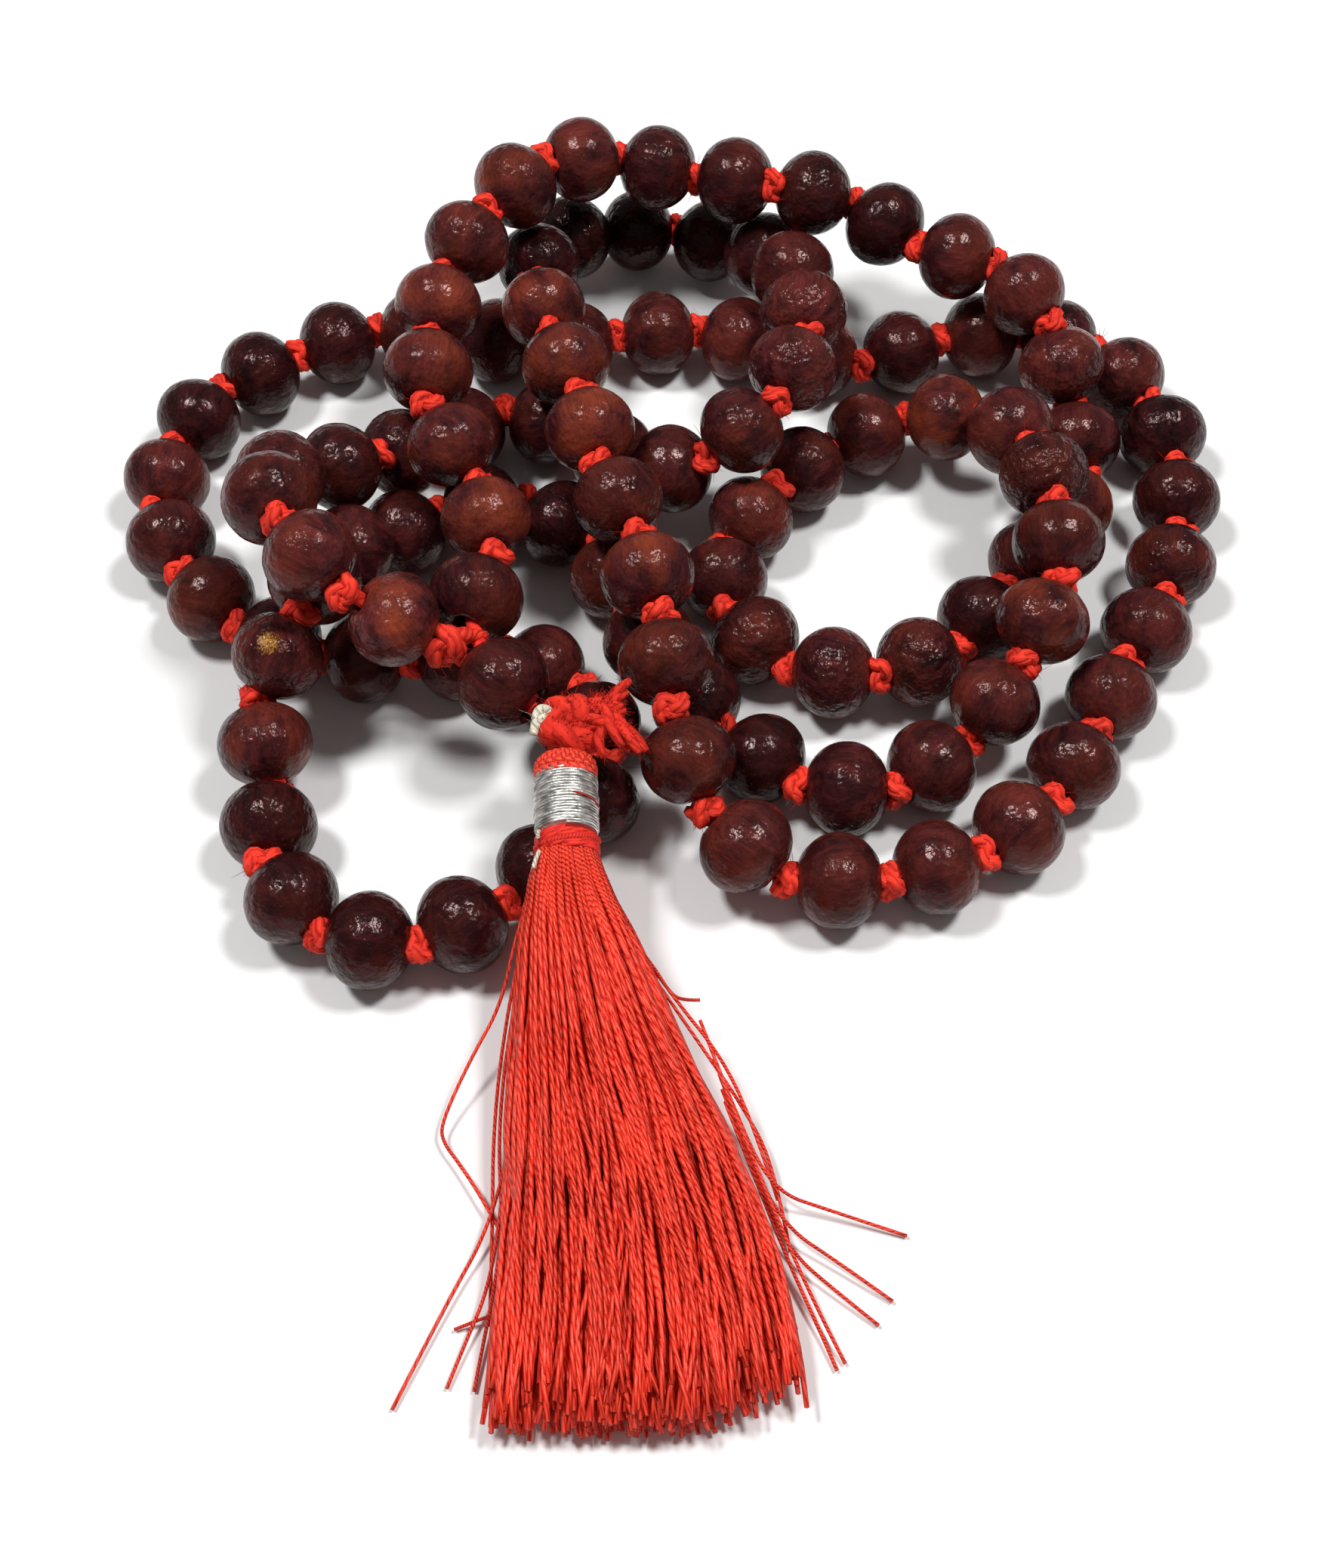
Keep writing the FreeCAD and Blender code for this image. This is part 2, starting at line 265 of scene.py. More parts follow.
def ramp(tree, value, stops):
    """A colour picked along a ramp of stops, each a place and a colour."""
    made = add(tree, "ShaderNodeValToRGB", {"Fac": value})
    elements = made.color_ramp.elements
    while len(elements) < len(stops):
        elements.new(0.5)
    for element, (place, color) in zip(elements, stops):
        element.position = place
        element.color = (*color, 1)
    return made.outputs["Color"]


def new_material(name):
    """A new material, its node tree and its shader."""
    material = bpy.data.materials.new(name)
    material.use_nodes = True
    tree = material.node_tree
    return material, tree, tree.nodes["Principled BSDF"]


CROWN_ROUNDNESS = 0.7
twist = bpy.data.node_groups.new("Twisted Ply", "ShaderNodeTree")
twist.interface.new_socket("Along and Round", in_out="INPUT", socket_type="NodeSocketVector")
for socket_name in ("Turns", "Plies", "Shift"):
    twist.interface.new_socket(socket_name, in_out="INPUT", socket_type="NodeSocketFloat")
twist.interface.new_socket("Crown", in_out="OUTPUT", socket_type="NodeSocketFloat")
twist.interface.new_socket("Fibre Place", in_out="OUTPUT", socket_type="NodeSocketVector")
group_in = add(twist, "NodeGroupInput")
group_out = add(twist, "NodeGroupOutput")
parts = add(twist, "ShaderNodeSeparateXYZ", {0: group_in.outputs["Along and Round"]})
round_part = sums(twist, "MULTIPLY", parts.outputs["Y"], group_in.outputs["Plies"])
along_part = sums(twist, "MULTIPLY", parts.outputs["X"], group_in.outputs["Turns"])
spiral = sums(twist, "ADD", sums(twist, "ADD", round_part, along_part), group_in.outputs["Shift"])
phase = sums(twist, "MULTIPLY", spiral, math.pi)
wave = sums(twist, "ABSOLUTE", sums(twist, "SINE", phase))
twist.links.new(sums(twist, "POWER", wave, CROWN_ROUNDNESS), group_out.inputs["Crown"])
fibre_place = add(twist, "ShaderNodeCombineXYZ", {0: parts.outputs["X"], 1: spiral})
twist.links.new(fibre_place.outputs["Vector"], group_out.inputs["Fibre Place"])
print("twist group sockets", len(twist.interface.items_tree))

# %% [markdown]
# ## Dyed thread
# The cotton's colour is scarlet on the crowns of its twist and a deep red in its grooves: painted
# light on the crowns and painted shade in the grooves.  Slow streaks keep neighbouring threads
# apart, and a little sheen stands for the fluff.  Cord, knots, tassel thread and yarn differ only
# in their colours, their twist and their gloss, so one function makes all of them.

# %% Make the thread materials


def thread_material(name, lit_crown_color, shaded_groove_color, turns, plies, depth, roughness, sheen, streak,
                    fibre_scale, unevenness=0.0):
    """A twisted thread.  Streak scales its streaks in space, and fibre_scale its fibres on the ply."""
    material, tree, shader = new_material(name)
    uv = add(tree, "ShaderNodeUVMap", uv_map="UVMap")
    place = add(tree, "ShaderNodeTexCoord")
    streaks = stretched(tree, place.outputs["Object"], streak)
    streaks = noise_at(tree, streaks, 1, detail=2, roughness=0.6)
    group = tree.nodes.new("ShaderNodeGroup")
    group.node_tree = twist
    tree.links.new(uv.outputs["UV"], group.inputs["Along and Round"])
    tree.links.new(sums(tree, "MULTIPLY", streaks, unevenness), group.inputs["Shift"])
    group.inputs["Turns"].default_value = turns
    group.inputs["Plies"].default_value = plies
    crown = group.outputs["Crown"]
    fibre = stretched(tree, group.outputs["Fibre Place"], (*fibre_scale, 1))
    fibre = noise_at(tree, fibre, 1, detail=3)
    height = sums(tree, "ADD", crown, sums(tree, "MULTIPLY", fibre, 1.1))
    # Painted light and shade: the colour goes from the groove colour to the crown colour with the
    # crown's height, lighter on the crowns and darker in the grooves.
    light = sums(tree, "ADD", sums(tree, "MULTIPLY", crown, 0.75), sums(tree, "MULTIPLY", fibre, 1.6))
    light = add(tree, "ShaderNodeClamp", {"Value": sums(tree, "SUBTRACT", light, 0.70)}).outputs[0]
    color = mixed(tree, light, (*shaded_groove_color, 1), (*lit_crown_color, 1))
    color = shaded(tree, color, rescaled(tree, streaks, (0.3, 0.7), (0.80, 1.12)))
    tree.links.new(color, shader.inputs["Base Color"])
    tree.links.new(bumped(tree, height, depth), shader.inputs["Normal"])
    shader.inputs["Roughness"].default_value = roughness
    shader.inputs["Sheen Weight"].default_value = sheen
    shader.inputs["Sheen Roughness"].default_value = 0.4
    shader.inputs["Sheen Tint"].default_value = (*lit_crown_color, 1)
    shader.inputs["Specular IOR Level"].default_value = 0.25
    return material


# The cord's crown colour below has painted light in it, and its groove colour has painted shade.
LIT_SCARLET = (0.95, 0.040, 0.020)
SHADED_DEEP_RED = (0.50, 0.007, 0.005)
cord_cotton = thread_material(
    "red_cotton_cord", LIT_SCARLET, SHADED_DEEP_RED, turns=560, plies=2, depth=0.00012,
    roughness=0.75, sheen=0.2, streak=(500, 500, 500), fibre_scale=(900, 2))
knot_cotton = thread_material(
    "red_knot_cotton", (0.98, 0.052, 0.024), (0.52, 0.008, 0.005), turns=7, plies=3, depth=0.00013,
    roughness=0.7, sheen=0.2, streak=(420, 420, 420), fibre_scale=(14, 6), unevenness=1.0)
silk = thread_material(
    "red_tassel_thread", (1.0, 0.085, 0.042), (0.66, 0.004, 0.003), turns=50, plies=2, depth=0.00010,
    roughness=0.36, sheen=0.0, streak=(700, 80, 700), fibre_scale=(50, 1.6), unevenness=2.5)
cap_silk = thread_material(
    "red_cap_thread", (1.0, 0.085, 0.044), (0.52, 0.008, 0.005), turns=8, plies=2, depth=0.00010,
    roughness=0.34, sheen=0.0, streak=(300, 300, 300), fibre_scale=(12, 3), unevenness=1.0)
bound_silk = thread_material(
    "red_binding_thread", (0.95, 0.045, 0.026), SHADED_DEEP_RED, turns=60, plies=2, depth=0.00005,
    roughness=0.55, sheen=0.1, streak=(300, 900, 300), fibre_scale=(160, 2), unevenness=1.0)
yarn = thread_material(
    "red_head_yarn", (0.86, 0.042, 0.021), (0.50, 0.009, 0.006), turns=4, plies=3, depth=0.00010,
    roughness=0.9, sheen=0.25, streak=(300, 300, 300), fibre_scale=(18, 7), unevenness=2.0)
white_cotton = thread_material(
    "white_cotton_thread", (0.85, 0.81, 0.67), (0.56, 0.48, 0.34), turns=3, plies=2, depth=0.00010,
    roughness=0.8, sheen=0.2, streak=(500, 500, 500), fibre_scale=(6, 4), unevenness=1.0)
print("materials so far", len(bpy.data.materials))

# %% [markdown]
# ## Silver thread
# The wrap is a flat metal foil wound on a core, so that each turn is a row of tiny facets.  A
# noise that is squeezed along the wire's own UV map tilts the normal from facet to facet, a
# second one paints glints into the metal's colour, bright on some facets and dull on others, and
# the metal does the rest.

# %% Make the silver material
silver, tree, shader = new_material("silver_metallic_thread")
wound = add(tree, "ShaderNodeUVMap", uv_map="UVMap").outputs["UV"]
facets = noise_at(tree, stretched(tree, wound, (520, 1.6, 1)), 1, detail=2, roughness=0.6)
# Painted glints: this noise makes some facets of the silver's colour bright and others dull.
glint = noise_at(tree, stretched(tree, wound, (260, 0.9, 1)), 1, detail=1)
painted_glint_color = ramp(tree, glint, [
    (0.36, (0.34, 0.33, 0.31)), (0.52, (0.74, 0.72, 0.68)), (0.62, (0.97, 0.96, 0.93))])
tree.links.new(painted_glint_color, shader.inputs["Base Color"])
tree.links.new(bumped(tree, facets, 0.00011), shader.inputs["Normal"])
shader.inputs["Metallic"].default_value = 1.0
shader.inputs["Roughness"].default_value = 0.42
print("silver nodes", len(tree.nodes))

# %% [markdown]
# ## Rosewood
# Turned rosewood is a dark red-brown with streaks along the grain, fine dark pores and a satin
# polish that lies over a slightly bumpy surface.  Each bead is cut from another place in the
# board, so every bead carries its own grain coordinates and its own tone as attributes of its
# mesh, and one material reads them for all the beads.  A third attribute is above zero only where
# one bead keeps a patch of pale gold wood.

# %% Make the wood material
wood, tree, shader = new_material("rosewood")
grain = add(tree, "ShaderNodeAttribute", attribute_name="bead_place").outputs["Vector"]
tone = add(tree, "ShaderNodeAttribute", attribute_name="bead_tone").outputs["Vector"]
tone = add(tree, "ShaderNodeSeparateXYZ", {0: tone})
lightness, warmth, coarseness = tone.outputs["X"], tone.outputs["Y"], tone.outputs["Z"]

streaks = noise_at(tree, stretched(tree, grain, (1.0, 1.0, 0.30)), 0.55, detail=5, roughness=0.62,
                   distortion=0.8)
lines = noise_at(tree, stretched(tree, grain, (1.0, 1.0, 0.10)), 4.5, detail=3, roughness=0.6)
pores = noise_at(tree, stretched(tree, grain, (1.0, 1.0, 0.28)), 6.5, detail=2, roughness=0.7)
patches = noise_at(tree, grain, 0.28, detail=3)

WARM_WOOD = (0.155, 0.026, 0.0125, 1)
GOLD = (0.42, 0.20, 0.018, 1)
wood_color = ramp(tree, streaks, [
    (0.30, (0.010, 0.0026, 0.0032)), (0.48, (0.038, 0.0070, 0.0080)), (0.70, (0.088, 0.0150, 0.0140))])
warm_share = rescaled(tree, patches, (0.40, 0.68), (0.0, 1.0))
wood_color = mixed(tree, sums(tree, "MULTIPLY", warm_share, warmth), wood_color, WARM_WOOD)
line_shade = rescaled(tree, lines, (0.3, 0.7), (0.72, 1.25))
pore_mask = rescaled(tree, pores, (0.62, 0.72), (0.0, 1.0))
pore_shade = sums(tree, "SUBTRACT", 1.0, sums(tree, "MULTIPLY", pore_mask, 0.6))
shade = sums(tree, "MULTIPLY", sums(tree, "MULTIPLY", line_shade, pore_shade), lightness)
wood_color = shaded(tree, wood_color, shade)
gold = add(tree, "ShaderNodeAttribute", attribute_name="bead_gold").outputs["Fac"]
gold_height = sums(tree, "ADD", sums(tree, "MULTIPLY", gold, 0.6), pores)
gold_share = rescaled(tree, gold_height, (0.92, 1.12), (0.0, 0.75))
wood_color = mixed(tree, gold_share, wood_color, GOLD)

relief = noise_at(tree, grain, 1.35, detail=1.5, roughness=0.5)
fine_relief = noise_at(tree, grain, 5.0, detail=1)
height = sums(tree, "ADD", relief, sums(tree, "MULTIPLY", fine_relief, 0.12))
height = sums(tree, "MULTIPLY", height, coarseness)
height = sums(tree, "SUBTRACT", height, sums(tree, "MULTIPLY", pore_mask, 0.08))
tree.links.new(wood_color, shader.inputs["Base Color"])
tree.links.new(rescaled(tree, relief, (0.3, 0.7), (0.16, 0.26)), shader.inputs["Roughness"])
tree.links.new(bumped(tree, height, 0.00016), shader.inputs["Normal"])
shader.inputs["Specular IOR Level"].default_value = 0.22
shader.inputs["Specular Tint"].default_value = (1.0, 0.74, 0.70, 1)
print("rosewood nodes", len(tree.nodes))

# %% [markdown]
# ## One bead
# A bead is turned on a lathe: round, a little shorter than it is wide, cut flat at both ends and
# bored through.  It starts as a sphere that is pressed a little flat.  Two cuts take off its
# poles, and the open edges are drawn in and down to make the countersunk mouths.  A bridge
# between them is the bore.

# %% Model the bead
BEAD_RADIUS = 3.9 * MM
BEAD_HALF_LENGTH = 3.2 * MM
BEAD_SEGMENTS = 44
BEAD_RINGS = 26
EDGE_ROUNDING = 0.16 * MM
EDGE_ANGLE = math.radians(28)


def model_bead(name, mouth_radius, bore_radius, mouth_depth, end_radius):
    """A bored bead at the origin with its bore along Z."""
    uncut = BEAD_HALF_LENGTH / math.sqrt(1 - (end_radius / BEAD_RADIUS) ** 2)
    bpy.ops.object.select_all(action="DESELECT")
    bpy.ops.mesh.primitive_uv_sphere_add(
        segments=BEAD_SEGMENTS, ring_count=BEAD_RINGS, radius=BEAD_RADIUS)
    bead = bpy.context.object
    bpy.ops.object.mode_set(mode="EDIT")
    bpy.ops.mesh.select_all(action="SELECT")
    bpy.ops.transform.resize(value=(1, 1, uncut / BEAD_RADIUS))
    for side in (1, -1):
        end = Vector((0, 0, side * BEAD_HALF_LENGTH))
        bpy.ops.mesh.select_all(action="SELECT")
        bpy.ops.mesh.bisect(plane_co=end, plane_no=(0, 0, side), clear_outer=True, threshold=1e-7)
        bpy.ops.mesh.extrude_region_move()
        share = mouth_radius / end_radius
        bpy.ops.transform.resize(value=(share, share, 1), center_override=end)
        bpy.ops.mesh.extrude_region_move(
            TRANSFORM_OT_translate={"value": (0, 0, -side * mouth_depth)})
        share = bore_radius / mouth_radius
        bpy.ops.transform.resize(value=(share, share, 1), center_override=end)
    bpy.ops.mesh.select_mode(type="EDGE")
    bpy.ops.mesh.select_all(action="DESELECT")
    bpy.ops.mesh.select_non_manifold()
    bpy.ops.mesh.bridge_edge_loops()
    bpy.ops.mesh.select_all(action="SELECT")
    bpy.ops.mesh.normals_make_consistent(inside=False)
    bpy.ops.object.mode_set(mode="OBJECT")
    rounding = bead.modifiers.new("rounding", "BEVEL")
    rounding.width = EDGE_ROUNDING
    rounding.segments = 2
    rounding.limit_method = "ANGLE"
    rounding.angle_limit = EDGE_ANGLE
    bpy.ops.object.modifier_apply(modifier=rounding.name)
    bpy.ops.object.shade_smooth()
    bead.name = name
    return bead


strand_bead = model_bead(
    "strand_bead", mouth_radius=1.05 * MM, bore_radius=0.80 * MM, mouth_depth=0.30 * MM,
    end_radius=1.5 * MM)
wide_bead = model_bead(
    "wide_bead", mouth_radius=1.55 * MM, bore_radius=1.3 * MM, mouth_depth=0.4 * MM,
    end_radius=1.8 * MM)
print("one bead has", len(strand_bead.data.polygons), "faces")

# %% [markdown]
# ## Tone of each bead
# No two beads are alike.  Most are dark, some are a warmer brown, and a few are nearly orange or
# rougher than the rest.  The darkest beads lie mostly on the surface under raised runs of the
# cord, so their dark tone is partly darker wood and partly painted shade.  The mixed order comes
# from a seeded draw, and the beads that stand out are named by number.

# %% Choose tones
# Darkest beads: partly darker wood, partly painted shade on beads that lie under raised runs of the
# cord.
DARK_AND_SHADED_BEADS = {16, 17, 18, 19, 35, 36, 40, 47, 48, 49, 53, 57, 58, 59, 60, 61, 62, 63, 69, 70, 73, 74,
              90, 97, 98}
WARM_BEADS = {1, 20, 21, 22, 24, 78, 82, 92, 102, 104, 105, 107}
LIGHT_BEADS = {2, 4, 12, 13, 42, 50, 64, 81, 94, 95, 101, 103, 106}
ROUGH_BEADS = {12: 2.2, 13: 1.9, 80: 2.6, 88: 2.0, 89: 2.0, 87: 1.8, 65: 1.8, 34: 1.6, 94: 1.6}


def bead_tone(number):
    """Lightness, warmth and coarseness of a bead."""
    draw = random.Random(number * 31 + 5)
    lightness = draw.uniform(0.85, 1.25)
    warmth = draw.uniform(0.15, 0.55)
    if number in DARK_AND_SHADED_BEADS:
        lightness, warmth = draw.uniform(0.50, 0.75), draw.uniform(0.0, 0.2)
    if number in LIGHT_BEADS:
        lightness, warmth = draw.uniform(1.15, 1.40), draw.uniform(0.3, 0.6)
    if number in WARM_BEADS:
        lightness, warmth = draw.uniform(1.15, 1.45), draw.uniform(0.75, 1.0)
    return Vector((lightness, warmth, ROUGH_BEADS.get(number, draw.uniform(0.8, 1.3))))


print("dark", len(DARK_AND_SHADED_BEADS), "warm", len(WARM_BEADS), "light", len(LIGHT_BEADS),
      "rough", len(ROUGH_BEADS))

# %% [markdown]
# ## Stringing the beads
# Each bead is a copy with a mesh of its own.  It is made a little uneven away from its mouths,
# given its grain and tone, and then moved onto its run of the cord.  The gold patch is set last,
# on the side that faces up.  Single beads turn on their own bodies; the others are joined by
# stretch of cord, as in the frame.

# %% String the beads
SWELL_FROM = 1.7
WIDTH_STEP = 0.05 / 3.9
GURU_NUMBER = 109
GOLD_BEAD = 65
GOLD_SIDE = Vector((-0.05, -0.37, 0.93))
GOLD_EDGE = 0.90


def numbers_in(node_name):
    """The bead or knot numbers in a node's name: one number, or the first and the last."""
    return [int(word) for word in node_name.split("_") if word.isdigit()]


def bead_copy(template, name, number, centre, direction, width_share):
    """A bead with a shape, grain and tone of its own, moved onto the cord."""
    draw = random.Random(number * 17 + 3)
    mesh = template.data.copy()
    piece = bpy.data.objects.new(name, mesh)
    bpy.context.scene.collection.objects.link(piece)
    seed_place = Vector((draw.uniform(-50, 50), draw.uniform(-50, 50), draw.uniform(-50, 50)))
    tilt = Matrix.Rotation(draw.uniform(0.0, 0.5), 3, Vector((draw.random(), draw.random(), 0.1)))
    tones = bead_tone(number)
    grain_data = mesh.attributes.new("bead_place", "FLOAT_VECTOR", "POINT").data
    tone_data = mesh.attributes.new("bead_tone", "FLOAT_VECTOR", "POINT").data
    for vertex in mesh.vertices:
        local = vertex.co / MM
        grain_data[vertex.index].vector = tilt @ local + seed_place
        tone_data[vertex.index].vector = tones
        if local.xy.length > SWELL_FROM:
            swell = noise.noise(local * 0.35 + seed_place) * 0.07
            swell += noise.noise(local * 1.1 + seed_place) * 0.03
            vertex.co += vertex.normal * swell * MM
    turn = direction.to_track_quat("Z", "Y").to_matrix().to_4x4()
    spin = Matrix.Rotation(draw.uniform(0, 2 * math.pi), 4, "Z")
    width = Matrix.Diagonal((width_share, width_share, 1, 1))
    mesh.transform(Matrix.Translation(centre) @ turn @ spin @ width)
    gold_data = mesh.attributes.new("bead_gold", "FLOAT", "POINT").data
    for vertex in mesh.vertices:
        facing = (vertex.co - centre).normalized().dot(GOLD_SIDE)
        share = min(1, max(0, (facing - GOLD_EDGE) / 0.10))
        gold_data[vertex.index].value = share if number == GOLD_BEAD else 0
    return piece


def strung_bead(number):
    """A strand bead in the middle of its run of the cord, in one of three widths."""
    width_share = 1 - WIDTH_STEP * (number * 7 % 3)
    centre = (ROUTE[number] + ROUTE[number + 1]) / 2
    direction = ROUTE[number + 1] - ROUTE[number]
    return bead_copy(strand_bead, "bead", number, centre, direction, width_share)


bead_nodes = sorted(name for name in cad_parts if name.startswith("bead"))
for node_name in bead_nodes:
    numbers = numbers_in(node_name)
    copies = [strung_bead(number) for number in range(numbers[0], numbers[-1] + 1)]
    body = node_name if len(numbers) == 1 else "strand"
    settle(join("wood_" + node_name, copies), wood, body, "rosewood", node_name)
guru = bead_copy(wide_bead, "wood_guru_bead", GURU_NUMBER, at(-12.9, 2.15, 10.85),
                 ROUTE[0] - ROUTE[1], 0.97)
settle(guru, wood, "guru_bead", "rosewood", "guru_bead")
for template in (strand_bead, wide_bead):
    bpy.data.objects.remove(template)
print("bead pieces", len(bead_nodes) + 1)

# %% [markdown]
# ## The cord
# The cord is one strand of cotton along the whole route.  It is a curve.

# %% Lay the cord
CORD_DIAMETER = 1.2 * MM
cord = curve_of("stringing_cord", [ROUTE], CORD_DIAMETER, sides=8, steps=4)
settle(cord, cord_cotton, "strand", "red_cotton_cord", "cord")

# %% [markdown]
# ## Knots
# Between two beads the cord is tied in an overhand knot.  A pulled-up overhand knot is a trefoil
# pressed flat between the beads, and its two plies show as a small twisted lump with a few loose
# fibres.  The knot leans to the outside of a bend, where the beads leave it room.

# %% Tie the knots
KNOT_POINTS = 21
KNOT_HALF_SIZES = (1.12 * MM, 1.12 * MM, 0.62 * MM)
KNOT_SPREAD = 0.26 * MM
KNOT_TURNS = 4
KNOT_PLY = 1.08 * MM
KNOT_FIBRES = 30
KNOT_FIBRE_REACH = 0.8 * MM
COTTON_FIBRE = 0.055 * MM
LEAST_BEND = 0.05


def trefoil(angle):
    """A point of an overhand knot about Z that is 1 wide and 1 high to each side."""
    return Vector((
        (math.sin(angle) + 2 * math.sin(2 * angle)) / 3,
        (math.cos(angle) - 2 * math.cos(2 * angle)) / 3,
        -math.sin(3 * angle)))


def plied_knot(frame_matrix, half_sizes, ply_spread, ply_turns, seed):
    """The two plies of a knot, as lines of points.  They wind round each other ply_turns times."""
    draw = random.Random(seed)
    lean = draw.uniform(0, 2 * math.pi)
    lines = []
    for ply in (0, math.pi):
        line = []
        for step in range(KNOT_POINTS):
            angle = 2 * math.pi * step / KNOT_POINTS
            here = trefoil(angle)
            tangent = (trefoil(angle + 0.05) - trefoil(angle - 0.05)).normalized()
            side = tangent.cross(Vector((0, 0, 1))).normalized()
            over = tangent.cross(side)
            swing = ply + ply_turns * angle
            place = Vector((
                here.x * half_sizes[0], here.y * half_sizes[1], here.z * half_sizes[2]))
            place += (side * math.cos(swing) + over * math.sin(swing)) * ply_spread
            line.append(frame_matrix @ (Matrix.Rotation(lean, 3, "Z") @ place))
        lines.append(line)
    return lines


def fuzz(piece, count, reach, thickness, seed):
    """Short loose fibres that stand off a piece, as lines of points."""
    draw = random.Random(seed)
    mesh = piece.data
    lines = []
    for _ in range(count):
        face = mesh.polygons[draw.randrange(len(mesh.polygons))]
        bend = Vector((draw.gauss(0, 1), draw.gauss(0, 1), draw.gauss(0, 1))) * reach * 0.45
        out = face.normal * reach * draw.uniform(0.4, 1.0)
        lines.append([
            face.center - face.normal * thickness,
            face.center + out * 0.6 + bend * 0.3,
            face.center + out + bend])
    return strands("fuzz", lines, thickness, sides=4, steps=2, taper=[1, 0.8, 0.4])


def knot_frame(number):
    """Where the knot after a bead sits, with Z along the cord and X to the outside of the bend."""
    index = number + 1
    before = (ROUTE[index] - ROUTE[index - 1]).normalized()
    after = (ROUTE[index + 1] - ROUTE[index]).normalized()
    along = (before + after).normalized()
    outward = (before - after)
    outward -= along * outward.dot(along)
    if outward.length < LEAST_BEND:
        outward = along.orthogonal()
    outward.normalize()
    middle = (ROUTE[index - 1] + ROUTE[index + 1]) / 8 + ROUTE[index] * 0.75
    shift = 0.25 * MM + 0.5 * (ROUTE[index] - middle).length
    turn = Matrix((outward, along.cross(outward), along)).transposed().to_4x4()
    return Matrix.Translation(middle + outward * shift) @ turn


knot_nodes = sorted(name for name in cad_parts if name.startswith("knots"))
for node_name in knot_nodes:
    first, last = numbers_in(node_name)
    lines = []
    for number in range(first, last + 1):
        lines += plied_knot(knot_frame(number), KNOT_HALF_SIZES, KNOT_SPREAD, KNOT_TURNS, number)
    tied = strands("tied", lines, KNOT_PLY, sides=6, steps=2, closed=True)
    fluff = fuzz(tied, KNOT_FIBRES * (last - first + 1), KNOT_FIBRE_REACH, COTTON_FIBRE, first)
    piece = join("cotton_" + node_name, [tied, fluff])
    settle(piece, knot_cotton, "strand", "red_cotton_cord", node_name)
    print(node_name, "faces", len(piece.data.polygons))

# %% [markdown]
# ## The join
# Below the guru bead the two ends of the loop are tied together in a larger knot.  One more pass
# of the cord lies over it to the right and narrows to a short end.

# %% Tie the join
JOIN_HALF_SIZES = (1.35 * MM, 1.3 * MM, 0.85 * MM)
JOIN_PLY = 1.25 * MM
ARM_PLIES = 3
ARM_SWAY = 0.40 * MM
join_turn = (ROUTE[2] - ROUTE[1]).to_track_quat("Z", "Y").to_matrix().to_4x4()
join_frame = Matrix.Translation(at(-17.6, 4.9, 12.3)) @ join_turn
join_lines = plied_knot(join_frame, JOIN_HALF_SIZES, 0.32 * MM, 3, 500)
join_body = strands("join_body", join_lines, JOIN_PLY, sides=8, steps=3, closed=True)
arm_lines = []
for ply in range(ARM_PLIES):
    sway = Vector((0, math.cos(ply * 2.1), math.sin(ply * 2.1))) * ARM_SWAY
    arm_lines.append([
        at(-18.6, 4.2, 12.4) + sway * 0.8,
        at(-17.5, 4.9, 12.7) - sway * 0.7,
        at(-16.2, 5.5, 12.6) + sway,
        at(-15.2, 5.9, 12.3) - sway * 0.6,
        at(-14.3, 6.1, 11.9) + sway * 0.4])
arm = strands("arm", arm_lines, JOIN_PLY, sides=8, steps=3, taper=[0.9, 1.0, 1.0, 0.8, 0.45])
join_fuzz = fuzz(join_body, 120, 0.9 * MM, COTTON_FIBRE, 501)
join_knot = join("cotton_join_knot", [join_body, arm, join_fuzz])
settle(join_knot, knot_cotton, "strand", "red_cotton_cord", "join_knot")
print("join faces", len(join_knot.data.polygons))

# %% [markdown]
# ## Head of the tassel
# The tassel hangs on a big knot of thick fuzzy yarn.  It is the same trefoil, much fatter.  The
# yarn's end is frayed into two soft tufts to the right, and the white core of the yarn shows at
# the left.

# %% Tie the head knot
YARN_FIBRE = 0.06 * MM
YARN_FIBRE_REACH = 0.5 * MM
head_frame = Matrix.Translation(at(-7.5, -2.6, 11.4)) @ Matrix.Rotation(math.radians(90), 4, "Y")
head_lines = plied_knot(head_frame, (1.55 * MM, 1.6 * MM, 1.45 * MM), 0.55 * MM, 4, 900)
head_body = strands("head_body", head_lines, 1.7 * MM, sides=10, steps=4, closed=True)
head_fuzz = fuzz(head_body, 1800, YARN_FIBRE_REACH, YARN_FIBRE, 901)
head = join("yarn_head_knot", [head_body, head_fuzz])
settle(head, yarn, "tassel_head", "red_tassel_thread", "tassel_head_knot")
print("head knot faces", len(head.data.polygons))

# %% Fray the tail and show the core
TUFT_STRANDS = 13
tail_draw = random.Random(77)


def jitter(size):
    """A random step of about the size given, in millimetres."""
    return Vector((tail_draw.gauss(0, size), tail_draw.gauss(0, size), tail_draw.gauss(0, size))) * MM


tufts = [
    [at(-5.3, -1.7, 12.5), at(-4.5, -1.2, 12.8), at(-4.0, -0.9, 12.6)],
    [at(-4.8, -2.6, 12.6), at(-3.6, -3.7, 12.4), at(-2.6, -5.0, 11.8)],
]
tail_lines = []
for tuft in tufts:
    for _ in range(TUFT_STRANDS):
        sway = jitter(0.40)
        spread = jitter(0.44)
        tail_lines.append([
            at(-7.0, -2.3, 11.8) + sway, at(-6.0, -2.0, 12.4) + sway, tuft[0] + sway,
            tuft[1] + spread, tuft[2] + spread * 1.2])
tail_body = strands("tail_body", tail_lines, 0.95 * MM, sides=6, steps=4,
                    taper=[0.8, 1.0, 1.05, 1.0, 0.6])
tail_fuzz = fuzz(tail_body, 1600, YARN_FIBRE_REACH, YARN_FIBRE, 902)
tail = join("yarn_frayed_tail", [tail_body, tail_fuzz])
settle(tail, yarn, "tassel_head", "red_tassel_thread", "frayed_tail")

